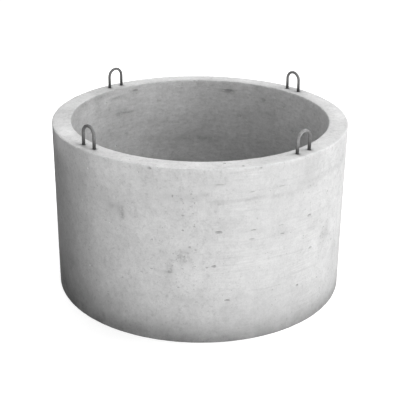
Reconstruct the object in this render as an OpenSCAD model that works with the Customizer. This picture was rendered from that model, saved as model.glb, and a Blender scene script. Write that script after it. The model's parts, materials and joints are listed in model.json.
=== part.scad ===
// Precast concrete culvert ring standing on end, with four bent steel bar loops cast into its rim.
// The origin is at the centre of the bottom face and +Z is up, along the ring's axis.

/* [Concrete ring] */
// Clear diameter of the bore
bore_d = 1000; // [700:10:1500]
// Thickness of the concrete wall
wall_t = 75; // [50:1:120]
// Height from the bottom face to the top face
ring_h = 680; // [400:10:1200]
// Radius of the rounded edges at the top and bottom of the wall
edge_r = 4; // [1:0.5:12]

/* [Lifting loops] */
// Diameter of the plain round bar
bar_d = 12; // [6:0.5:16]
// Distance between the two legs of a loop, centre to centre
leg_spacing = 63; // [40:1:100]
// Height of the top of a loop above the rim
loop_rise = 83; // [70:1:140]
// Length of each leg inside the wall
leg_embed = 200; // [80:5:300]
// Radial gap between a leg and the concrete round it
leg_clearance = 0.05; // [0.02:0.01:0.3]

/* [Hidden] */
// The four loops stand at the quarters of the rim, each in line with the rim
LOOP_TURNS = [0, 90, 180, 270];
bore_r = bore_d / 2;
wall_mid_r = bore_r + wall_t / 2;
// A loop's crown is half a circle that joins the two legs
crown_r = leg_spacing / 2;
leg_stand = loop_rise - bar_d / 2 - crown_r;
// Height by which the cut for a leg's hole runs out past the rim
hole_over = 1;
$fn = 96;

// Cross-section of the wall, with its four corners rounded
module wall_section() {
  translate([bore_r, edge_r]) square([wall_t, ring_h - 2 * edge_r]);
  translate([bore_r + edge_r, 0]) square([wall_t - 2 * edge_r, ring_h]);
  for (x = [edge_r, wall_t - edge_r], z = [edge_r, ring_h - edge_r]) {
    translate([bore_r + x, z]) circle(r = edge_r);
  }
}

// Places its children on the rim, above the middle of the wall, with Y in line with the rim
module on_rim(turn) {
  rotate(turn) translate([wall_mid_r, 0, ring_h]) children();
}

// The two holes that a loop's legs are cast into
module leg_holes() {
  for (side = [-1, 1]) {
    translate([0, side * leg_spacing / 2, -leg_embed - leg_clearance]) {
      cylinder(d = bar_d + 2 * leg_clearance, h = leg_embed + leg_clearance + hole_over);
    }
  }
}

// One loop: two straight legs and a half-round crown, bent from one length of bar
module loop() {
  for (side = [-1, 1]) {
    translate([0, side * leg_spacing / 2, -leg_embed]) cylinder(d = bar_d, h = leg_embed + leg_stand);
  }
  translate([0, 0, leg_stand]) rotate([90, 0, 90]) {
    rotate_extrude(angle = 180) translate([crown_r, 0]) circle(d = bar_d);
  }
}

module lifting_loop(turn) {
  color("dimgray") on_rim(turn) loop();
}

module concrete_ring() {
  color("gainsboro") difference() {
    rotate_extrude() wall_section();
    for (turn = LOOP_TURNS) {
      on_rim(turn) leg_holes();
    }
  }
}

concrete_ring();
lifting_loop(LOOP_TURNS[0]);  // lifting_loop_1
lifting_loop(LOOP_TURNS[1]);  // lifting_loop_2
lifting_loop(LOOP_TURNS[2]);  // lifting_loop_3
lifting_loop(LOOP_TURNS[3]);  // lifting_loop_4
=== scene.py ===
"""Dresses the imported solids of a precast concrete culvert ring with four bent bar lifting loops."""
import json
import math

import bpy
import numpy as np
from mathutils import Matrix, Vector


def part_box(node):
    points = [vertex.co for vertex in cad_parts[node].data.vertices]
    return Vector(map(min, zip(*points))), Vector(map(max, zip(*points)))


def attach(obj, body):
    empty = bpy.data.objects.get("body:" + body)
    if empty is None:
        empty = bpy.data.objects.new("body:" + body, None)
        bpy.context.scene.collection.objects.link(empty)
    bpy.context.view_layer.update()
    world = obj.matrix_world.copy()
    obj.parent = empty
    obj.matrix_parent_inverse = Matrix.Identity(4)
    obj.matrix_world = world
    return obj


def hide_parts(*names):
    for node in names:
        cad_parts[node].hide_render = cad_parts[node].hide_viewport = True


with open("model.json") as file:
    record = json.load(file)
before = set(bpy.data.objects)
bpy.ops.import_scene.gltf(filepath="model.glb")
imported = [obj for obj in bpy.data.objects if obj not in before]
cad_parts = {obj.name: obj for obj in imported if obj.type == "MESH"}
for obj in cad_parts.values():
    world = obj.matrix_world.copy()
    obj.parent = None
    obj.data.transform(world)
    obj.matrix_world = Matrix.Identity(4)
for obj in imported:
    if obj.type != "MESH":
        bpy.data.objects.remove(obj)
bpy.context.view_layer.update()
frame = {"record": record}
rng = np.random.default_rng(41)

# Millimetres in a metre
MM = 1000

# Sizes of the ring and its loops, in metres, read from the solids and the record
ring_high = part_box("concrete_ring")[1]
loop_low, loop_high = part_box("lifting_loop_1")
bore_mount = next(mount for mount in frame["record"]["mounts"] if mount["name"] == "bore")
BORE_R = bore_mount["dims"]["r_mm"] / MM
OUTER_R = round(ring_high.x, 4)
RING_H = round(ring_high.z, 4)
EDGE_R = (RING_H - bore_mount["dims"]["length_mm"] / MM) / 2
MID_R = (BORE_R + OUTER_R) / 2
BAR_R = round(loop_high.x - loop_low.x, 3) / 2
LEG_SPACING = round(loop_high.y - loop_low.y, 3) - 2 * BAR_R
LOOP_RISE = round(loop_high.z, 3) - RING_H
LEG_EMBED = RING_H - round(loop_low.z, 3)
CROWN_R = LEG_SPACING / 2
LEG_STAND = LOOP_RISE - BAR_R - CROWN_R
LOOP_TURNS = {"lifting_loop_1": 0, "lifting_loop_2": 90, "lifting_loop_3": 180, "lifting_loop_4": 270}
# Radial gap between a leg and the concrete round it
LEG_CLEARANCE = 0.00005

# The photograph is taken from this side, in degrees round the axis from +X
VIEW_TURN = -132.763
# The camera: metres from the axis and above the floor, angles in degrees, lens and sensor in millimetres
CAMERA_AWAY = 3.4907
CAMERA_UP = 1.8211
CAMERA_DOWN_DEG = 23.265
CAMERA_PAN_DEG = 0.0436
CAMERA_ROLL_DEG = 0.556
CAMERA_LENS = 84.03
CAMERA_SENSOR = 36.0

# Lamp panels: degrees round from the photograph's side to its right, degrees up, and level
LAMPS = {
    "front": (10, 10, 0.51),
    "front_high": (0, 35, 0.22),
    "right": (90, 35, 0.5),
    "right_low": (100, 10, 0.285),
    "high_back": (-150, 60, 0.51),
    "back": (-164, 8, 0.28),
}
PANEL_W = 2.2
PANEL_H = 1.8
LAMP_AWAY = 4.0
# Level of the even light from all round
EVEN_LIGHT = 0.04

# The floor: half its side, the distance from the axis at which the shade round the ring ends, its glow
# beside the ring, and the share of that glow inside the bore, where the weaker glow is painted shade
FLOOR_HALF = 14.0
SHADE_END = 1.6
GLOW_BESIDE = 0.74
GLOW_IN_BORE = 0.85
# Its colour under the lamps as the eye sees it, and to the light that it throws back
FLOOR_LIT = (0.5, 0.5, 0.5, 1)
FLOOR_DARK = (0.2, 0.2, 0.2, 1)
WHITE = (1, 1, 1, 1)

# Air holes on the outside: degrees round the axis, height, width and tallness in millimetres, and dirt with
# painted shade
OUTSIDE_PITS = [
    (210, 671, 17, 10, 0.8), (234, 444, 30, 13, 0.75), (232.5, 312, 20, 12, 0.8), (230, 308, 13, 7, 0.5),
    (271, 442, 24, 14, 0.7), (272.5, 307, 22, 12, 0.8), (258, 405, 20, 10, 0.45), (257.5, 440, 26, 5, 0.4),
    (246.5, 441, 28, 6, 0.5), (246, 407, 28, 6, 0.5), (288, 281, 14, 11, 0.5), (266.5, 172, 15, 11, 0.7),
    (237.5, 174, 26, 9, 0.8), (226.5, 171, 14, 6, 0.4), (224, 387, 11, 9, 0.6), (217, 286, 18, 8, 0.25),
    (206.5, 270, 10, 8, 0.5), (198.5, 232, 11, 9, 0.5), (183, 230, 10, 9, 0.4), (220, 227, 10, 8, 0.6),
    (210.5, 405, 8, 8, 0.6), (194, 438, 10, 8, 0.5), (258, 201, 16, 4, 0.4), (282, 503, 11, 7, 0.5),
    (198.5, 610, 9, 9, 0.5), (206, 651, 8, 8, 0.5), (184, 619, 10, 12, 0.4), (226, 378, 9, 9, 0.5),
    (210, 290, 10, 7, 0.5), (221.5, 451, 9, 8, 0.5), (225.5, 467, 8, 9, 0.4), (221.5, 507, 12, 7, 0.5),
    (218, 578, 6, 13, 0.4), (221, 567, 12, 8, 0.4), (221.5, 302, 10, 8, 0.5), (278, 162, 14, 10, 0.4),
    (248.5, 671, 13, 8, 0.4), (245.5, 587, 26, 5, 0.4), (257, 590, 26, 5, 0.5), (234, 622, 40, 5, 0.4),
]
# The stretch of the outside that the photograph doesn't show, in degrees: it gets random air holes
UNSEEN_TURNS = (306, 526)
# Air holes and level laps in the bore, in the same way as on the outside
BORE_PITS = [
    (88.5, 566, 120, 7, 0.35), (94, 526, 50, 6, 0.4), (87.5, 468, 24, 13, 0.6), (81.5, 656, 32, 12, 0.9),
    (94, 426, 16, 10, 0.35), (27, 530, 24, 12, 0.4), (14, 618, 26, 14, 0.8), (68.5, 594, 26, 6, 0.5),
    (60, 487, 44, 6, 0.5), (33, 638, 62, 14, 0.7), (93.5, 643, 50, 6, 0.5), (100, 633, 18, 10, 0.35),
    (21.5, 630, 14, 8, 0.5), (1.5, 606, 16, 10, 0.5), (354.5, 511, 26, 8, 0.5), (23, 503, 30, 6, 0.4),
]
# Air holes in the rim: degrees round the axis, distance from the axis, width and depth across, dirt with
# painted shade
RIM_PITS = [(236.5, 524, 14, 9, 0.8), (242.5, 559, 12, 11, 0.7), (201, 545, 7, 5, 0.4)]
# Random holes in the rim keep this far from its edges, in millimetres
RIM_MARGIN = 10

# Scabbed patches of the outside: degrees round the axis, height, half width, half height, hollows in it
SCABS = [(222, 346, 30, 30, 16), (217, 303, 16, 22, 10), (221, 545, 50, 40, 10), (282, 336, 34, 34, 9)]
# How the hollows of a scab spread, as a share of its half sizes, their width and tallness, and their dirt
# with painted shade
SCAB_SPREAD = 0.6
SCAB_WIDE = (4, 9)
SCAB_TALL = (3, 8)
SCAB_DIRT_AND_SHADE = (0.2, 0.6)

# Marks on a wall lie apart by this share of their summed sizes and a spare, and from its ends by a margin,
# both in millimetres
MARK_SPREAD = 0.65
MARK_SPARE = 2
MARK_MARGIN = 14
# Least tallness of a random mark, in millimetres
MARK_LEAST = 2.5

# A dish's depth is this share of half its tallness, within limits in metres on the walls and on the rim
DISH_DEEP = 1.1
WALL_DISH = (0.0022, 0.005)
RIM_DISH = (0.0018, 0.004)
# Its middle stands proud of the surface by a share of its depth, and its lumps by a share of its size
DISH_PROUD = 0.3
DISH_LUMPS = 0.14

# Chips of the edges: half their length in millimetres, the share of it that is kept, half their width and
# half their depth
CHIP_LONG = (4, 14)
CHIP_KEPT = (0.5, 1)
CHIP_WIDE = (2, 4)
CHIP_DEEP = (1.0, 2.2)
# How far a chip strays from even spacing, as a share of it, and lies inside the edge each way, in metres
CHIP_STRAY = 0.3
CHIP_INSET = 0.001
# A chip's lumps, as a share of its size, and its dirt with painted shade
CHIP_LUMPS = 0.2
CHIP_DIRT_AND_SHADE = 0.12

# Rings of a leg's socket, in metres: height from the rim and how much wider its mouth is there, which a
# random share then makes ragged
SOCKET_LEVELS = (-LEG_EMBED - LEG_CLEARANCE, -0.006, -0.0028, 0.001)
SOCKET_WIDER = (0, 0, 0.0012, 0.0022)
SOCKET_RAGGED = (0.4, 1.5)
# A socket has flat sides, so it is this much wider than a round one would be
SOCKET_SPARE = 0.00008

# Wear of the edges, in metres: at the least, and what its waves add
WEAR_LEAST = 0.0003
WEAR_MORE = 0.0012
# The number of its waves, the range of their turns round the ring, and their slant in radians a metre
WEAR_WAVES = 24
WEAR_TURNS = (3, 60)
WEAR_SLANT = 9

# Stains: degrees round the axis, height, half width and half height in millimetres, strength
OUTSIDE_STAINS = [
    (199, 500, 11, 26, 1.0), (199, 475, 10, 16, 0.8), (195.5, 505, 26, 16, 0.6), (222, 348, 28, 28, 1.0),
    (217, 304, 11, 26, 0.85), (282, 338, 34, 36, 0.55), (215, 286, 34, 5, 0.6), (219, 572, 80, 22, 0.3),
    (229.5, 588, 16, 10, 0.5), (234, 620, 50, 10, 0.3), (246, 440, 60, 7, 0.3), (258, 404, 40, 6, 0.4),
    (180, 570, 24, 24, 0.35), (224, 179, 50, 8, 0.3),
]
# In the bore, the rows at 668 mm just under the rim are painted shade under its edge; the rest are stains
BORE_STAINS_AND_SHADE = [
    (48, 412, 110, 14, 0.9), (82, 654, 26, 14, 0.6), (97, 590, 60, 22, 0.4), (30, 520, 60, 14, 0.3),
    (32.5, 637, 36, 10, 1.0), (88.5, 566, 60, 8, 0.8), (70, 500, 90, 10, 0.4), (10, 560, 50, 12, 0.4),
    (27, 530, 30, 18, 0.5), (104, 668, 60, 9, 0.8), (118, 668, 60, 10, 0.7), (92, 641, 50, 7, 0.7),
    (14, 616, 22, 16, 0.6), (87.5, 468, 12, 8, 0.5), (354, 520, 24, 20, 0.5), (2, 606, 18, 14, 0.5),
]
# Painted shadows of the loops on the rim, to the left of their feet: degrees round the axis, distance from
# the axis, half width round and across, strength
RIM_PAINTED_SHADOWS = [
    (176, 552, 34, 7, 0.8), (181, 548, 22, 7, 0.6), (264.5, 535, 14, 9, 0.6), (271, 530, 12, 9, 0.6),
]
# Broad paler (above 0) and darker (below 0) patches, in the same way as the stains: partly the concrete's
# own tone and partly painted light and shade, such as the pale band under the rim on the left of the
# outside
OUTSIDE_TONE_AND_LIGHT = [
    (162, 664, 110, 60, 0.68), (190, 400, 70, 250, 0.05), (222, 650, 110, 60, -0.12),
    (272, 650, 70, 70, -0.14), (297, 300, 40, 260, 0.1), (252, 270, 170, 130, 0.1),
    (172, 210, 70, 90, -0.12), (218, 40, 110, 60, -0.17), (257, 20, 120, 25, 0.12),
    (204, 290, 70, 130, 0.07), (182, 130, 50, 50, -0.1), (276, 280, 70, 100, 0.05),
    (189, 645, 110, 60, 0.15), (232, 560, 60, 60, -0.05), (220, 530, 60, 40, -0.05),
    (320, 679, 170, 4, -0.12), (288, 320, 70, 130, 0.06),
]
BORE_TONE_AND_LIGHT = [
    (340, 610, 180, 110, 0.18), (60, 330, 380, 70, 0.2), (118, 610, 130, 140, 0.1), (2, 450, 60, 80, 0.1),
    (88, 415, 90, 50, 0.08), (40, 665, 160, 24, 0.07), (22, 500, 60, 60, -0.06), (104, 671, 60, 8, -0.1),
]
# On the rim, the darker rows round the loops' feet are rust, grout and painted contact shade. The thin row
# at 574 mm, like the one at 679 mm on the outside, is painted shade over a highlight on the outer edge
RIM_TONE_AND_LIGHT = [
    (40, 503, 420, 24, -0.18), (340, 503, 150, 24, -0.08), (122, 540, 70, 60, 0.13),
    (98, 540, 70, 60, -0.2), (210, 530, 160, 60, 0.08), (159, 540, 90, 60, 0.2), (177, 552, 50, 12, -0.24),
    (270, 533, 50, 22, -0.22), (315, 540, 150, 30, 0.05), (320, 574, 170, 4, -0.12),
    (174, 520, 120, 24, 0.12), (140, 540, 60, 60, -0.06), (193, 540, 50, 60, -0.06),
    (301, 540, 60, 60, -0.06), (152, 504, 170, 8, -0.12), (266.5, 553, 40, 13, -0.2),
    (276, 545, 45, 20, -0.1), (178.5, 534, 36, 16, -0.2), (2, 548, 55, 30, -0.25), (7, 545, 60, 40, -0.08),
    (89, 558, 40, 16, -0.14),
]
# Level lines on the outside, where a lift of the casting ended or a form board left its mark: height and
# half width in millimetres, the stretch where it shows in degrees, and the share of light that it takes
LEVEL_LINES = [
    (558, 13, 228, 276, 0.115), (580, 24, 262, 300, 0.09), (572, 18, 200, 238, 0.04),
    (316, 5, 238, 274, 0.07), (201, 5, 243, 262, 0.09), (588, 5, 243, 264, 0.05), (515, 5, 239, 254, 0.06),
    (404, 4, 241, 252, 0.08), (610, 6, 255, 296, 0.05), (345, 5, 232, 252, 0.05),
]
# How far the lines waver, in millimetres, and over how many degrees their ends fade
LINE_WAVER = 26
LINE_FADE = 6
# The stretch of the outside that has the clearest drag marks, and over how many degrees it fades
DRAGGED_TURNS = (224, 286)
DRAGGED_FADE = 24

# Damp and painted shade at the foot of the outside: how high it climbs, in metres, and the share of light
# that it takes, each with what is added towards the left of the photograph, its shaded side
DAMP_AND_SHADE_CLIMB = (0.052, 0.14)
DAMP_AND_SHADE_TAKEN = (0.58, 0.12)

# Colour of clean concrete, and the share of it that its darker places keep: the bore's share is painted
# shade, and those of the hollows, stains and feet are partly painted shade
CONCRETE = (0.7, 0.7, 0.7)
LIGHT_KEPT = {"fleck": 0.86, "bore": 0.74, "pinhole": 0.65, "dirt_and_shade": 0.5, "stain_and_shadow": 0.62, "foot": 0.6}
# Pinholes are the middles of some cells: cells a metre, and where a hole starts and is full, by its cell's
# random number and by the distance from its middle as a share of a cell
PINHOLE_CELLS = 75.0
PINHOLE_CHANCE = (0.75, 0.8)
PINHOLE_SIZE = (0.16, 0.06)
# Outer radius of the dark ring of rust, grout and painted contact shade round a leg's foot, and how ragged
# its edge is, in metres
FOOT_SHADE_R = 0.019
FOOT_SHADE_RAGGED = 0.014

# Colour of the bar, how high above the rim its grime and painted contact shade reach and how raggedly, and
# the share kept in them
STEEL = (0.17, 0.17, 0.17)
GRIME_SHADE_RISE = 0.048
GRIME_SHADE_RAGGED = 0.016
GRIME_SHADE_KEPT = 0.3
# How much paler slings have rubbed each loop, with painted sheen such as the fourth loop's bright crown: on
# its clockwise leg, its crown and its other leg
LOOP_RUBS_AND_SHEEN = {
    "lifting_loop_1": (0.45, 0.05, 0.45),
    "lifting_loop_2": (0.05, 0.05, 0.15),
    "lifting_loop_3": (0.0, 0.05, 0.35),
    "lifting_loop_4": (0.85, 1.25, 0.0),
}
# A rub and its painted sheen start at this height above the rim, and are full this much higher
RUB_SHEEN_LOW = 0.014
RUB_SHEEN_FADE = 0.03
# A loop's bar bows and sways by up to this much, and is flatter by this share where it is bent
LOOP_STRAY = 0.0016
BEND_FLATTENED = 0.05
# Depth under the rim at which the close rings of a leg's tube start
LEG_UNDER = 0.008

# Edges sharper than this many degrees stay sharp
RING_SHARP_DEG = 38
LOOP_SHARP_DEG = 50


def drawn_waves(count, turns, waves):
    """Draws waves for the relief: turns round the axis, waves a metre across and along, and phases."""
    across, along = rng.uniform(-waves, waves, (2, count))
    return rng.integers(1, turns + 1, count), across, along, rng.uniform(0, 2 * np.pi, count)


# Relief of the cast faces: its mean depth on the outside, on the rim and in the bore, and its waves
RELIEF = [
    ((0.0004, 0.0003, 0.0005), drawn_waves(count=14, turns=9, waves=3)),
    ((0.00013, 0.00016, 0.00032), drawn_waves(count=60, turns=56, waves=17)),
    ((0.0001, 0.0, 0.0003), drawn_waves(count=40, turns=12, waves=55)),
]


def relief(angle, radius, height, outward):
    """How far the cast surface lies inside its plain shape. Each layer is one plus a sum of cosines of
    the angle, radius and height, times the layer's depth on the outside, rim and bore, which blend by the
    squares of the outward direction's parts and are nothing on the foot."""
    across, up = outward[..., 0], outward[..., 1]
    shares = (np.maximum(across, 0) ** 2, np.maximum(up, 0) ** 2, np.minimum(across, 0) ** 2)
    push = np.zeros(np.broadcast(angle, radius, height).shape)
    for depths, (turns, waves_across, waves_along, phases) in RELIEF:
        depth = sum(d * share for d, share in zip(depths, shares))
        way = radius[..., None] * waves_across + height[..., None] * waves_along
        waves = np.cos(angle[..., None] * turns + 2 * np.pi * way + phases).sum(-1)
        push += depth * (1 + waves / math.sqrt(2 * len(turns)))
    return push


def wall_section(outside, rim, bore, foot, edge):
    """Outline of the wall's section as the offset of a smaller rectangle by the edge radius: along a side
    the offset direction stays and the corner moves, round an edge the corner stays and the direction turns.
    Gives each point's radius and height, its outward direction, and how near it is to an edge's middle."""
    low, high = EDGE_R, RING_H - EDGE_R
    near, far = BORE_R + EDGE_R, OUTER_R - EDGE_R
    corners = np.array([(far, low), (far, high), (near, high), (near, low), (far, low)])
    centre, turn, bend = [], [], []
    for side, steps in enumerate((outside, rim, bore, foot)):
        t = np.arange(steps)[:, None] / steps
        centre.append(corners[side] * (1 - t) + corners[side + 1] * t)
        turn.append(np.full(steps, side * np.pi / 2))
        bend.append(np.zeros(steps))
        centre.append(np.repeat(corners[side + 1][None], edge, 0))
        share = np.arange(edge) / edge
        turn.append((side + share) * np.pi / 2)
        bend.append(np.sin(share * np.pi))
    centre, turn, bend = np.concatenate(centre), np.concatenate(turn), np.concatenate(bend)
    outward = np.stack([np.cos(turn), np.sin(turn)], 1)
    return centre + EDGE_R * outward, outward, bend


def ring_faces(columns, rows):
    """Quads of a grid that closes on itself both ways."""
    i, j = np.meshgrid(np.arange(columns), np.arange(rows), indexing="ij")
    i2, j2 = (i + 1) % columns, (j + 1) % rows
    quads = np.stack([i * rows + j, i2 * rows + j, i2 * rows + j2, i * rows + j2], -1)
    return quads.reshape(-1, 4)


def cast_wall(columns=336):
    """The wall's section carried round the axis. Each point is pushed in along its outward direction by
    the relief and, at the edges, by wear that comes and goes round the ring. No face has dirt or painted
    shade."""
    place, outward, bend = wall_section(outside=88, rim=8, bore=56, foot=4, edge=5)
    angle = np.arange(columns)[:, None] * 2 * np.pi / columns
    radius, height = place[:, 0][None], place[:, 1][None]
    angle, radius, height = np.broadcast_arrays(angle, radius, height)
    push = relief(angle, radius, height, outward)
    turns = rng.integers(*WEAR_TURNS, WEAR_WAVES)
    phases = rng.uniform(0, 2 * np.pi, WEAR_WAVES)
    waves = np.cos(angle[..., None] * turns + height[..., None] * WEAR_SLANT + phases).sum(-1)
    wear = np.clip(waves / math.sqrt(2 * WEAR_WAVES), 0, 2)
    push = push + (WEAR_LEAST + WEAR_MORE * wear) * bend
    radius = radius - push * outward[:, 0]
    height = height - push * outward[:, 1]
    points = np.stack([radius * np.cos(angle), radius * np.sin(angle), height], -1)
    faces = ring_faces(columns, len(place))
    return points.reshape(-1, 3), faces, np.zeros(len(faces))


def capped_tube_faces(rings, sides):
    """Triangles of a tube of rings with a point at each end: the end points come first and last."""
    k, s = np.meshgrid(np.arange(rings - 1), np.arange(sides), indexing="ij")
    a, b = 1 + k * sides + s, 1 + k * sides + (s + 1) % sides
    walls = np.concatenate([np.stack([a, b, b + sides], -1), np.stack([a, b + sides, a + sides], -1)])
    s = np.arange(sides)
    last = rings * sides + 1
    start = np.stack([0 * s, 1 + (s + 1) % sides, 1 + s], -1)
    end = np.stack([0 * s + last, last - sides + s, last - sides + (s + 1) % sides], -1)
    return np.concatenate([walls.reshape(-1, 3), start, end])


def copies(points, faces, dirt_and_shade):
    """One list of points, faces and each face's dirt with painted shade from many shapes that share their
    faces:
    points is (shape, point, xyz) and the dirt with painted shade is (shape, face)."""
    shift = np.arange(len(points))[:, None, None] * points.shape[1]
    return points.reshape(-1, 3), (faces + shift).reshape(-1, 3), dirt_and_shade.ravel()


def hollow_blobs(where, outward, half, lumps, dirt_and_shade, sides=12, rings=7):
    """Lumpy ellipsoids, to be cut out of the concrete. A unit sphere by latitude and longitude is swelled
    by random amounts, scaled by half its width, height and depth, and turned so that its depth runs along
    outward and its width runs level. A face has more dirt and painted shade the deeper it lies."""
    lat = (np.arange(rings) + 1) * np.pi / (rings + 1)
    lon = np.arange(sides) * 2 * np.pi / sides
    lat, lon = np.meshgrid(lat, lon, indexing="ij")
    ball = np.stack([np.sin(lat) * np.cos(lon), np.sin(lat) * np.sin(lon), -np.cos(lat)], -1)
    ball = np.concatenate([[(0, 0, -1)], ball.reshape(-1, 3), [(0, 0, 1)]])
    swell = 1 + lumps * rng.uniform(-1, 1, (len(where), len(ball), 1))
    local = ball * swell * half[:, None, :]
    up = np.tile((0.0, 0.0, 1.0), (len(where), 1))
    level = np.cross(up, where * (1, 1, 0))
    level /= np.linalg.norm(level, axis=1, keepdims=True)
    axes = np.stack([level, np.cross(outward, level), outward], 1)
    points = where[:, None] + np.einsum("npa,nax->npx", local, axes)
    faces = capped_tube_faces(rings, sides)
    # Dirt and painted shade grow with the depth, from nothing a little below the middle
    steep, clean = 1.3, 0.2
    depth = np.clip(-ball[faces, 2].mean(1) * steep - clean, 0, 1)
    return copies(points, faces, dirt_and_shade[:, None] * depth)


def leg_sockets(sides=20):
    """Holes for the loops' legs: straight and round, with a ragged mouth that opens at the rim, darkened
    all over with dirt and painted contact shade. Each is a tube of rings on the leg's axis, and the rings
    of its mouth are wider by random amounts."""
    turns = np.radians(list(LOOP_TURNS.values()))
    turn, side = (a.ravel() for a in np.meshgrid(turns, (-CROWN_R, CROWN_R), indexing="ij"))
    axis = MID_R * np.stack([np.cos(turn), np.sin(turn)]) + side * np.stack([-np.sin(turn), np.cos(turn)])
    level = np.array(SOCKET_LEVELS)
    snug = BAR_R + LEG_CLEARANCE + SOCKET_SPARE
    ragged = rng.uniform(*SOCKET_RAGGED, (len(turn), 1, sides))
    radius = snug + np.array(SOCKET_WIDER)[:, None] * ragged
    lon = np.arange(sides) * 2 * np.pi / sides
    x = axis[0][:, None, None] + radius * np.cos(lon)
    y = axis[1][:, None, None] + radius * np.sin(lon)
    z = np.broadcast_to(RING_H + level[:, None], x.shape)
    tubes = np.stack([x, y, z], -1).reshape(len(turn), -1, 3)
    ends = np.stack([*axis, np.full(len(turn), RING_H)], 1)[:, None]
    points = np.concatenate([ends + (0, 0, level[0]), tubes, ends + (0, 0, level[-1])], 1)
    faces = capped_tube_faces(len(level), sides)
    return copies(points, faces, np.ones((len(turn), len(faces))))


def turned(turn, start, whole=360):
    """Degrees from start to turn the shorter way round, where a whole turn has that many."""
    return (turn - start + whole / 2) % whole - whole / 2


def kept_apart(marks, taken, radius):
    """Those marks, as rows of degrees, height, width, tallness and dirt with painted shade, that keep clear
    of the taken rows and of each other, and stay on the upright face."""
    mm_per_degree = math.radians(radius * MM)
    kept = np.array(taken, float)
    for mark in marks:
        off = np.abs(turned(kept[:, 0], mark[0])) * mm_per_degree
        rise = np.abs(kept[:, 1] - mark[1])
        beside = off > (kept[:, 2] + mark[2]) * MARK_SPREAD + MARK_SPARE
        above = rise > (kept[:, 3] + mark[3]) * MARK_SPREAD + MARK_SPARE
        if (beside | above).all() and MARK_MARGIN < mark[1] < RING_H * MM - MARK_MARGIN:
            kept = np.vstack([kept, mark])
    return kept


def clear_of_loops(marks):
    """Those marks on the rim that aren't beside a loop."""
    off = np.abs(turned(marks[:, 0], 0, 360 / len(LOOP_TURNS)))
    return marks[np.radians(off) * MID_R > LEG_SPACING]


def scattered(count, wide, flat, dirt_and_shade, turns=(0, 360)):
    """Random marks all over that stretch of a wall. Their widths lie between two limits, and most are near
    the lower. Their tallness is a share of their width."""
    width = wide[0] + (wide[1] - wide[0]) * rng.random(count) ** 3
    tall = np.maximum(width * rng.uniform(*flat, count), MARK_LEAST)
    turn, height = rng.uniform(*turns, count), rng.uniform(0, RING_H * MM, count)
    return np.column_stack([turn, height, width, tall, rng.uniform(*dirt_and_shade, count)])


def scabs():
    """Small flat hollows crowded together in each scabbed patch, thinning out from its middle."""
    rows = []
    for turn, height, wide, tall, count in SCABS:
        off, rise = rng.normal(0, SCAB_SPREAD, (2, count))
        turns = turn + np.degrees(off * wide / MM / OUTER_R)
        across, down = rng.uniform(*SCAB_WIDE, count), rng.uniform(*SCAB_TALL, count)
        dirt_and_shade = rng.uniform(*SCAB_DIRT_AND_SHADE, count)
        rows.append(np.column_stack([turns, height + rise * tall, across, down, dirt_and_shade]))
    return np.concatenate(rows)


def dishes(marks, radius, height, facing, limits):
    """Dishes cut into a face at that radius and height, which faces (1, 0) on the outside, (-1, 0) in the
    bore and (0, 1) on the rim. Each is the low part of a lumpy ellipsoid whose middle stands a little proud
    of the cast surface, so its lip is soft."""
    turn = np.radians(marks[:, 0])
    radius, height = np.broadcast_to(radius, turn.shape), np.broadcast_to(height, turn.shape)
    push = relief(turn, radius, height, np.tile(facing, (len(turn), 1)))
    side, up = facing
    outward = np.column_stack([side * np.cos(turn), side * np.sin(turn), np.full(len(turn), up)])
    half = marks[:, [2, 3, 3]] / (2 * MM)
    half[:, 2] = np.clip(half[:, 1] * DISH_DEEP, *limits)
    lift = DISH_PROUD * half[:, 2] - push
    surface = np.column_stack([radius * np.cos(turn), radius * np.sin(turn), height])
    return hollow_blobs(surface + outward * lift[:, None], outward, half, DISH_LUMPS, marks[:, 4])


def edge_chips(count, radius, height, side, rise):
    """Chips broken out of an edge: flat lumps, longer round the edge than across it, cut at a slant. Side
    is 1 on the outside and -1 in the bore, and rise is 1 on the rim and -1 at the foot."""
    turn = (np.arange(count) + rng.uniform(-CHIP_STRAY, CHIP_STRAY, count)) * 2 * np.pi / count
    slant = rise * math.pi / 4
    flat = side * math.cos(slant)
    outward = np.stack([flat * np.cos(turn), flat * np.sin(turn), np.full(count, math.sin(slant))], 1)
    long = rng.uniform(*CHIP_LONG, count) * rng.uniform(*CHIP_KEPT, count)
    half = np.column_stack([long, rng.uniform(*CHIP_WIDE, count), rng.uniform(*CHIP_DEEP, count)]) / MM
    radius, height = radius - side * CHIP_INSET, height - rise * CHIP_INSET
    where = np.column_stack([radius * np.cos(turn), radius * np.sin(turn), np.full(count, height)])
    return hollow_blobs(where - outward * CHIP_INSET, outward, half, CHIP_LUMPS, np.full(count, CHIP_DIRT_AND_SHADE))


def together(shapes):
    """One list of points, faces and dirt with painted shade from several."""
    points, faces, dirt_and_shade = zip(*shapes)
    first = np.cumsum([0] + [len(p) for p in points[:-1]])
    shifted = [f + n for f, n in zip(faces, first)]
    return np.concatenate(points), np.concatenate(shifted), np.concatenate(dirt_and_shade)


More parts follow.
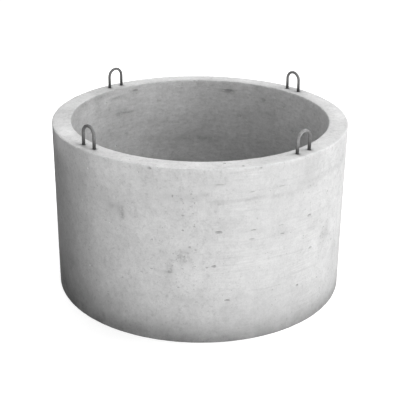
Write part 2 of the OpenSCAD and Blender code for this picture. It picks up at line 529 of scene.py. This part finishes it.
def bent_bar(turn_deg, sides=24):
    """A round bar carried along a path: up one leg, over a half circle and down the other. Above the rim
    the path bows a little out of its plane and the crown leans a little, and the bar is slightly flattened
    where it is bent."""
    above = np.linspace(-LEG_UNDER, LEG_STAND, 11, endpoint=False)
    leg = np.concatenate([[-LEG_EMBED, -LEG_EMBED / 2], above])
    arch = np.linspace(0, np.pi, 41)
    straight = np.zeros(len(leg))
    level = np.concatenate([straight + CROWN_R, CROWN_R * np.cos(arch), straight - CROWN_R])
    rise = np.concatenate([leg, LEG_STAND + CROWN_R * np.sin(arch), leg[::-1]])
    lean = np.concatenate([straight, arch, straight + np.pi])
    bend = np.concatenate([straight, np.sqrt(np.abs(np.sin(arch))), straight])
    free = np.clip(rise / (LOOP_RISE - BAR_R), 0, 1) ** 2
    bow, sway = rng.uniform(-LOOP_STRAY, LOOP_STRAY, 2)
    around = np.arange(sides) * 2 * np.pi / sides
    thin = BAR_R * (1 - BEND_FLATTENED * bend)[:, None] * np.cos(around)
    wide = BAR_R * np.broadcast_to(np.sin(around), thin.shape)
    x = MID_R + (bow * free)[:, None] - wide
    y = (level + sway * free)[:, None] + thin * np.cos(lean)[:, None]
    z = rise[:, None] + thin * np.sin(lean)[:, None]
    tube = np.stack([x, y, z], -1).reshape(-1, 3)
    ends = np.array([(MID_R, CROWN_R, -LEG_EMBED), (MID_R, -CROWN_R, -LEG_EMBED)])
    points = np.concatenate([ends[:1], tube, ends[1:]]) + (0, 0, RING_H)
    c, s = math.cos(math.radians(turn_deg)), math.sin(math.radians(turn_deg))
    return points @ np.array([(c, s, 0), (-s, c, 0), (0, 0, 1)]), capped_tube_faces(len(level), sides)


def rubbed_and_sheen(points, turn_deg, shares):
    """How much slings have rubbed the bar, with painted sheen: the shares of one leg, the crown and the
    other leg, blended by the place along the rim, and nothing near the rim."""
    turn = math.radians(turn_deg)
    along = points[:, 1] * math.cos(turn) - points[:, 0] * math.sin(turn)
    share = np.interp(along / CROWN_R, (-1, 0, 1), shares)
    return share * np.clip((points[:, 2] - RING_H - RUB_SHEEN_LOW) / RUB_SHEEN_FADE, 0, 1)


def placed(name, data):
    """A new object, linked to the scene."""
    thing = bpy.data.objects.new(name, data)
    bpy.context.scene.collection.objects.link(thing)
    return thing


def write_attribute(mesh, name, values, domain="POINT"):
    """Gives each point, or each face, of the mesh its own value, which a finish can read by name."""
    mesh.attributes.new(name, "FLOAT", domain).data.foreach_set("value", values.astype(np.float32))


def mesh_of(name, points, faces, dirt_and_shade=None):
    """A mesh from its points and faces, with each face's dirt and painted shade as an attribute."""
    mesh = bpy.data.meshes.new(name)
    mesh.from_pydata(points.tolist(), [], faces.tolist())
    if dirt_and_shade is not None:
        write_attribute(mesh, "dirt_and_shade", dirt_and_shade, "FACE")
    mesh.update()
    return mesh


def smooth(mesh, sharp_deg):
    """Shades the mesh smooth, apart from its sharp edges."""
    mesh.shade_smooth()
    mesh.set_sharp_from_angle(angle=math.radians(sharp_deg))


def cut_away(body, hollows):
    """Takes the hollows out of the body. A cut face keeps the dirt and painted shade of the hollow that cut
    it.
    """
    change = body.modifiers.new("hollows", "BOOLEAN")
    change.object = hollows
    change.operation = "DIFFERENCE"
    change.solver = "MANIFOLD"
    done = bpy.data.meshes.new_from_object(body.evaluated_get(bpy.context.evaluated_depsgraph_get()))
    body.modifiers.clear()
    done.materials.clear()
    old, body.data = body.data, done
    gone = hollows.data
    bpy.data.objects.remove(hollows)
    bpy.data.meshes.remove(old)
    bpy.data.meshes.remove(gone)


def bells(rows, turn, radius, height):
    """The sum of the rows' bell curves in the distance round the axis and in height."""
    total = np.zeros_like(turn)
    for at, middle, wide, tall, strength in rows:
        off = np.radians(turned(turn, at)) * radius * MM
        total += strength * np.exp(-((off / wide) ** 2) - ((height * MM - middle) / tall) ** 2)
    return total


def weathered_and_shaded(mesh):
    """Writes the stains and painted shadows, the broad tones with painted light and shade, and the damp and
    painted shade of the foot as point attributes. Stains and tones are bell curves, which on the rim take
    the distance from the axis for the height. The damp and painted shade fall off upwards, and climb
    highest towards the left of the photograph, its shaded side."""
    place = np.zeros(len(mesh.vertices) * 3, np.float32)
    mesh.vertices.foreach_get("co", place)
    x, y, z = place.reshape(-1, 3).T.astype(float)
    radius, turn = np.hypot(x, y), np.degrees(np.arctan2(y, x))
    outside = radius > MID_R
    rim = z > RING_H - EDGE_R / 2

    def over_faces(on_outside, on_bore, on_rim):
        walls = np.where(outside, bells(on_outside, turn, radius, z), bells(on_bore, turn, radius, z))
        return np.where(rim, bells(on_rim, turn, radius, radius), walls)

    stain_and_shadow = over_faces(OUTSIDE_STAINS, BORE_STAINS_AND_SHADE, RIM_PAINTED_SHADOWS)
    tone_and_light = over_faces(OUTSIDE_TONE_AND_LIGHT, BORE_TONE_AND_LIGHT, RIM_TONE_AND_LIGHT)
    left = -np.sin(np.radians(turn - VIEW_TURN))
    climb = DAMP_AND_SHADE_CLIMB[0] + DAMP_AND_SHADE_CLIMB[1] * np.clip(left, 0, 1) ** 2
    damp_and_shade = (DAMP_AND_SHADE_TAKEN[0] + DAMP_AND_SHADE_TAKEN[1] * left) / (1 + (z / climb) ** 2)
    write_attribute(mesh, "stain_and_shadow", np.clip(stain_and_shadow, 0, 1))
    write_attribute(mesh, "tone_and_light", 1 + tone_and_light)
    write_attribute(mesh, "damp_and_shade", damp_and_shade * (radius > BORE_R + EDGE_R))


class Nodes:
    """A node tree, with short ways to add the nodes that the finishes and the studio use."""

    def __init__(self, tree):
        self.tree = tree

    def node(self, kind, inputs=(), **settings):
        """A new node with those settings, and with its inputs, by name or number, set or linked."""
        made = self.tree.nodes.new(kind)
        for name, value in settings.items():
            setattr(made, name, value)
        for key, value in dict(inputs).items():
            self.put(made.inputs[key], value)
        return made

    def put(self, socket, value):
        """Links a socket to another, or sets it to a plain value."""
        if isinstance(value, bpy.types.NodeSocket):
            self.tree.links.new(value, socket)
        else:
            socket.default_value = value

    def math(self, operation, *values, clamp=False):
        """One step of arithmetic."""
        given = dict(enumerate(values))
        return self.node("ShaderNodeMath", given, operation=operation, use_clamp=clamp).outputs[0]

    def times(self, value, *others):
        """The product of all of them."""
        for other in others:
            value = self.math("MULTIPLY", value, other)
        return value

    def from_to(self, mask, low, high):
        """low where mask is 0, high where it is 1, and on a straight line between them."""
        return self.math("MULTIPLY_ADD", mask, high - low, low)

    def between(self, value, low, high):
        """0 at low, 1 at high and a smooth step from one to the other."""
        given = {"Value": value, "From Min": low, "From Max": high}
        return self.node("ShaderNodeMapRange", given, interpolation_type="SMOOTHSTEP").outputs[0]

    def total(self, start, *parts):
        """start plus each (socket, weight) pair's product, with the socket counted from 0.5."""
        for socket, weight in parts:
            start = self.math("MULTIPLY_ADD", self.math("SUBTRACT", socket, 0.5), weight, start)
        return start

    def masked(self, noise, mask):
        """The noise where mask is 1, and its middle where mask is 0."""
        return self.math("MULTIPLY_ADD", self.math("SUBTRACT", noise, 0.5), mask, 0.5)

    def darken(self, value, mask, kept):
        """value times kept where mask is 1, and as it was where mask is 0."""
        return self.times(value, self.from_to(mask, 1, kept))

    def distance(self, where, point=(0, 0, 0)):
        """How far a place is from that point."""
        given = {0: where, 1: point}
        return self.node("ShaderNodeVectorMath", given, operation="DISTANCE").outputs["Value"]

    def span(self, turn, start, end, fade):
        """1 where the turn lies between start and end, in degrees from 180 to 360, fading out at both."""
        start, end, fade = (math.radians(v) for v in (start - 360, end - 360, fade))
        return self.times(self.between(turn, start, start + fade), self.between(turn, end, end - fade))

    def seen(self):
        """1 for what the camera, a mirror or glass sees, and 0 for light on its way to another surface."""
        path = self.node("ShaderNodeLightPath").outputs
        mirrored = self.math("MAXIMUM", path["Is Glossy Ray"], path["Is Transmission Ray"])
        return self.math("MAXIMUM", path["Is Camera Ray"], mirrored)


class Finish(Nodes):
    """A new material's nodes, with its shader and the place on the piece."""

    def __init__(self, name):
        self.material = bpy.data.materials.new(name)
        self.material.use_nodes = True
        super().__init__(self.material.node_tree)
        self.shader = self.tree.nodes["Principled BSDF"]
        self.where = self.node("ShaderNodeTexCoord").outputs["Object"]

    def noise(self, scale, detail=3, roughness=0.55, stretch=(1, 1, 1)):
        """Fractal noise, about 0.5 in the middle, of scale waves a metre, times stretch along each axis."""
        where = self.node("ShaderNodeMapping", {"Vector": self.where, "Scale": stretch}).outputs[0]
        given = {"Vector": where, "Scale": scale, "Detail": detail, "Roughness": roughness}
        return self.node("ShaderNodeTexNoise", given).outputs["Fac"]

    def attribute(self, name):
        """The value that the mesh holds under that name."""
        return self.node("ShaderNodeAttribute", attribute_name=name).outputs["Fac"]

    def surface(self, value, colour, roughness, specular):
        """Sets the shader to value times the colour, with that roughness and level of gloss."""
        given = {0: colour, "Scale": value}
        tinted = self.node("ShaderNodeVectorMath", given, operation="SCALE")
        self.put(self.shader.inputs["Base Color"], tinted.outputs[0])
        self.put(self.shader.inputs["Roughness"], roughness)
        self.shader.inputs["Specular IOR Level"].default_value = specular

    def bump(self, height, strength, distance):
        """Gives the shader fine relief, distance deep, from a height of 0 to 1."""
        given = {"Height": height, "Strength": strength, "Distance": distance}
        self.put(self.shader.inputs["Normal"], self.node("ShaderNodeBump", given).outputs[0])


def level_lines(s, value, turn, z, outside):
    """value with the level lines on it. They waver and break, and each is darkest at its own height."""
    waver = s.total(s.times(z, MM), (s.noise(7), LINE_WAVER))
    broken = s.times(s.between(s.noise(24), 0.26, 0.56), outside)
    for height, half, start, end, taken in LEVEL_LINES:
        off = s.math("ABSOLUTE", s.math("SUBTRACT", waver, height))
        line = s.times(s.between(off, half, 0), s.span(turn, start, end, LINE_FADE), broken)
        value = s.darken(value, line, 1 - taken)
    return value


def pinholes(s):
    """1 in the pinholes, which are the middles of some cells of a Voronoi pattern."""
    cells = s.node("ShaderNodeTexVoronoi", {"Vector": s.where, "Scale": PINHOLE_CELLS}).outputs
    chance = s.node("ShaderNodeSeparateXYZ", {0: cells["Color"]}).outputs[0]
    return s.times(s.between(cells["Distance"], *PINHOLE_SIZE), s.between(chance, *PINHOLE_CHANCE))


def loop_feet_rust_and_shade(s, flat):
    """1 in the rust, grout and painted contact shade round the feet of the loops. The rim is folded on
    itself, so two spots stand for all eight."""
    fold = s.node("ShaderNodeVectorMath", {0: flat}, operation="ABSOLUTE").outputs[0]
    near = [s.distance(fold, foot) for foot in ((MID_R, CROWN_R, 0), (CROWN_R, MID_R, 0))]
    ragged = s.total(s.math("MINIMUM", *near), (s.noise(60, detail=4, roughness=0.65), FOOT_SHADE_RAGGED))
    return s.between(ragged, FOOT_SHADE_R, BAR_R)


def cast_concrete():
    """Pale cast concrete: mottling of every size down to sand, level drag marks and lines, a rougher bore
    darkened by painted shade, pinholes, dirt and painted shade in the hollows, stains and painted shadows,
    broad tones and painted light and shade, a damp foot with painted shade, and dark rings of rust, grout
    and painted contact shade at the loops' feet."""
    s = Finish("cast_concrete")
    x, y, z = s.node("ShaderNodeSeparateXYZ", {0: s.where}).outputs
    flat = s.node("ShaderNodeCombineXYZ", {0: x, 1: y}).outputs[0]
    radius, turn = s.distance(flat), s.math("ARCTAN2", y, x)
    bore = s.between(radius, BORE_R + EDGE_R, BORE_R + EDGE_R / 2)
    outside = s.between(radius, MID_R, OUTER_R - EDGE_R)
    # Drag marks lie level, in patches: clear on one side of the outside, and weak on the rest of it
    dragged = s.times(s.span(turn, *DRAGGED_TURNS, DRAGGED_FADE), outside)
    patches = s.times(s.between(s.noise(4, detail=2), 0.36, 0.6), s.from_to(dragged, 0.06, 1), outside)
    drag = s.masked(s.noise(1, detail=4, roughness=0.6, stretch=(8, 8, 130)), patches)
    # The laps of the bore lie level too, and are coarser
    lap = s.masked(s.noise(1, detail=4, roughness=0.7, stretch=(30, 30, 90)), bore)
    # The dragged side has less mottling and fainter flecks
    mottle = s.masked(s.noise(5, detail=6, roughness=0.95), s.from_to(dragged, 1, 0.7))
    flecks = s.times(s.between(s.noise(70, roughness=0.7), 0.48, 0.3), s.from_to(dragged, 1, 0.5))
    grain = s.noise(190, roughness=0.75)
    sand = s.noise(620, detail=2, roughness=0.6)
    value = s.total(1.0, (mottle, 0.9), (grain, 0.22), (sand, 0.12), (drag, 0.5))
    value = s.darken(value, flecks, LIGHT_KEPT["fleck"])
    # The bore is darkened all over: painted shade inside the ring
    value = s.darken(s.total(value, (lap, 0.6)), bore, LIGHT_KEPT["bore"])
    value = level_lines(s, value, turn, z, outside)
    # Hollows with dirt and painted shade, stains and painted shadows, broad tones and painted light, damp
    # and painted shade at the foot, and the loops' feet
    pinhole = pinholes(s)
    value = s.darken(value, pinhole, LIGHT_KEPT["pinhole"])
    # Dirt and painted shade in the hollows, darker the deeper they lie, and all through the legs' sockets
    value = s.darken(value, s.attribute("dirt_and_shade"), LIGHT_KEPT["dirt_and_shade"])
    blotches = s.between(s.noise(80, detail=4, roughness=0.75), 0.36, 0.58)
    # Stains, with the painted shadows of the loops on the rim and the painted shade under the bore's edge
    value = s.darken(value, s.times(s.attribute("stain_and_shadow"), blotches), LIGHT_KEPT["stain_and_shadow"])
    # Broad tones, partly painted light and shade
    value = s.times(value, s.attribute("tone_and_light"))
    # Damp and painted shade at the foot, darkest next to the floor
    damp_and_shade = s.times(s.attribute("damp_and_shade"), s.total(1.0, (s.noise(12, detail=5, roughness=0.7), 0.7)))
    value = s.times(value, s.math("SUBTRACT", 1, damp_and_shade, clamp=True))
    # Rust, grout and painted contact shade round the loops' feet
    value = s.darken(value, loop_feet_rust_and_shade(s, flat), LIGHT_KEPT["foot"])
    s.surface(value, CONCRETE, roughness=s.total(0.9, (mottle, 0.2), (grain, 0.1)), specular=0.3)
    height = s.total(0.5, (mottle, 0.7), (grain, 0.35), (sand, 0.2), (drag, 0.4), (lap, 0.7))
    height = s.math("SUBTRACT", height, s.times(pinhole, 0.8))
    s.bump(height, strength=0.6, distance=0.0016)
    return s.material


def mill_scale_steel():
    """Dull dark rolled bar with mill scale, darker still down its legs towards the rim with grime and
    painted contact shade, and paler where slings have rubbed it and where a sheen is painted."""
    s = Finish("mill_scale_steel")
    z = s.node("ShaderNodeSeparateXYZ", {0: s.where}).outputs[2]
    scale = s.noise(130, detail=5, roughness=0.65)
    grain = s.noise(620, roughness=0.6)
    value = s.total(1.0, (scale, 0.9), (grain, 0.5))
    # Grime and painted contact shade down the legs towards the rim
    climb = s.total(z, (s.noise(160, detail=4, roughness=0.7), GRIME_SHADE_RAGGED))
    value = s.darken(value, s.between(climb, RING_H + GRIME_SHADE_RISE, RING_H), GRIME_SHADE_KEPT)
    # Paler where slings rubbed it, with painted sheen
    value = s.math("MULTIPLY_ADD", s.attribute("rub_and_sheen"), s.between(scale, 0.15, 0.6), value)
    s.surface(value, STEEL, roughness=s.total(0.6, (scale, 0.4), (grain, 0.2)), specular=0.08)
    s.bump(s.total(0.5, (scale, 0.6), (grain, 0.4)), strength=0.5, distance=0.0004)
    return s.material


def pale_floor():
    """White to the eye and to mirrors, with the ring's soft shadow and, inside its bore, painted shade from
    a weaker glow, and dark grey to the light that it throws back."""
    s = Finish("pale_floor")
    s.tree.nodes.remove(s.shader)
    away = s.distance(s.where)
    strength = s.from_to(s.between(away, OUTER_R, SHADE_END), GLOW_BESIDE, 1)
    # A weaker glow inside the bore: painted shade
    strength = s.darken(strength, s.between(away, OUTER_R, BORE_R), GLOW_IN_BORE)
    dark = s.node("ShaderNodeBsdfDiffuse", {"Color": FLOOR_DARK}).outputs[0]
    lit = s.node("ShaderNodeBsdfDiffuse", {"Color": FLOOR_LIT}).outputs[0]
    glow = s.node("ShaderNodeEmission", {"Color": WHITE, "Strength": strength}).outputs[0]
    white = s.node("ShaderNodeAddShader", {0: lit, 1: glow}).outputs[0]
    mixed = s.node("ShaderNodeMixShader", {0: s.seen(), 1: dark, 2: white}).outputs[0]
    s.put(s.tree.nodes["Material Output"].inputs["Surface"], mixed)
    return s.material


def soft_box(name, turn_deg, up_deg, level):
    """A lamp panel that faces the middle of the ring. Level 1 gives a white surface that faces it its own
    colour."""
    turn, up = math.radians(VIEW_TURN + turn_deg), math.radians(up_deg)
    towards = Vector((math.cos(up) * math.cos(turn), math.cos(up) * math.sin(turn), math.sin(up)))
    data = bpy.data.lights.new(name, "AREA")
    data.shape = "RECTANGLE"
    data.size, data.size_y = PANEL_W, PANEL_H
    data.energy = level * math.pi ** 2 * LAMP_AWAY ** 2
    lamp = placed(name, data)
    lamp.location = Vector((0, 0, RING_H / 2)) + LAMP_AWAY * towards
    lamp.rotation_mode = "QUATERNION"
    lamp.rotation_quaternion = towards.to_track_quat("Z", "Y")
    lamp.visible_camera = False


# The ring
ring = placed("ring_of_cast_concrete", mesh_of("ring_of_cast_concrete", *cast_wall()))
unseen = scattered(34, wide=(6, 20), flat=(0.4, 0.8), dirt_and_shade=(0.3, 0.8), turns=UNSEEN_TURNS)
scabbed = scabs()
specks = scattered(180, wide=(4, 8), flat=(0.5, 1.1), dirt_and_shade=(0.2, 0.6))
laps = scattered(40, wide=(20, 60), flat=(0.08, 0.14), dirt_and_shade=(0.05, 0.25))
bore_specks = scattered(120, wide=(3, 7), flat=(0.5, 1.1), dirt_and_shade=(0.1, 0.5))
rim_specks = scattered(36, wide=(3, 7), flat=(0.5, 1.1), dirt_and_shade=(0.1, 0.5))
rim_specks[:, 1] = rng.uniform(BORE_R * MM + RIM_MARGIN, OUTER_R * MM - RIM_MARGIN, len(rim_specks))
on_outside = kept_apart(np.concatenate([scabbed, unseen, specks]), OUTSIDE_PITS, OUTER_R)
on_bore = kept_apart(np.concatenate([laps, bore_specks]), BORE_PITS, BORE_R)
on_rim = clear_of_loops(np.concatenate([RIM_PITS, rim_specks]))
cut_away(ring, placed("hollows", mesh_of("hollows", *together([
    leg_sockets(),
    dishes(on_outside, OUTER_R, on_outside[:, 1] / MM, (1.0, 0.0), WALL_DISH),
    dishes(on_bore, BORE_R, on_bore[:, 1] / MM, (-1.0, 0.0), WALL_DISH),
    dishes(on_rim, on_rim[:, 1] / MM, RING_H, (0.0, 1.0), RIM_DISH),
    edge_chips(24, OUTER_R, RING_H, side=1, rise=1),
    edge_chips(20, BORE_R, RING_H, side=-1, rise=1),
    edge_chips(40, OUTER_R, 0, side=1, rise=-1),
]))))
smooth(ring.data, RING_SHARP_DEG)
weathered_and_shaded(ring.data)
ring.data.materials.append(cast_concrete())
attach(ring, "root")
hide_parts("concrete_ring")

# The loops
steel = mill_scale_steel()
for node, turn in LOOP_TURNS.items():
    name = "bent_bar_" + node[-1]
    points, faces = bent_bar(turn)
    loop = placed(name, mesh_of(name, points, faces))
    write_attribute(loop.data, "rub_and_sheen", rubbed_and_sheen(points, turn, LOOP_RUBS_AND_SHEEN[node]))
    smooth(loop.data, LOOP_SHARP_DEG)
    loop.data.materials.append(steel)
    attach(loop, "root")
    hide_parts(node)

# Floor, lamps and the even light, which is white to the eye
corners = FLOOR_HALF * np.array([(-1, -1, 0), (1, -1, 0), (1, 1, 0), (-1, 1, 0)])
floor = placed("floor", mesh_of("floor", corners, np.array([(0, 1, 2, 3)])))
floor.data.materials.append(pale_floor())
for name, (turn, up, level) in LAMPS.items():
    soft_box(name, turn, up, level)
world = bpy.data.worlds.new("studio")
world.use_nodes = True
bpy.context.scene.world = world
studio = Nodes(world.node_tree)
even = studio.tree.nodes["Background"]
even.inputs["Color"].default_value = WHITE
studio.put(even.inputs["Strength"], studio.from_to(studio.seen(), EVEN_LIGHT, 1))

# Camera
camera = placed("camera", bpy.data.cameras.new("camera"))
camera.data.lens = CAMERA_LENS
camera.data.sensor_width = CAMERA_SENSOR
spin = Matrix.Rotation(math.radians(VIEW_TURN + 90), 4, "Z")
pan = Matrix.Rotation(math.radians(-CAMERA_PAN_DEG), 4, "Z")
tilt = Matrix.Rotation(math.radians(90 - CAMERA_DOWN_DEG), 4, "X")
roll = Matrix.Rotation(math.radians(CAMERA_ROLL_DEG), 4, "Z")
camera.matrix_world = spin @ Matrix.Translation((0, -CAMERA_AWAY, CAMERA_UP)) @ pan @ tilt @ roll
bpy.context.scene.camera = camera
bpy.context.scene.view_settings.view_transform = "Standard"
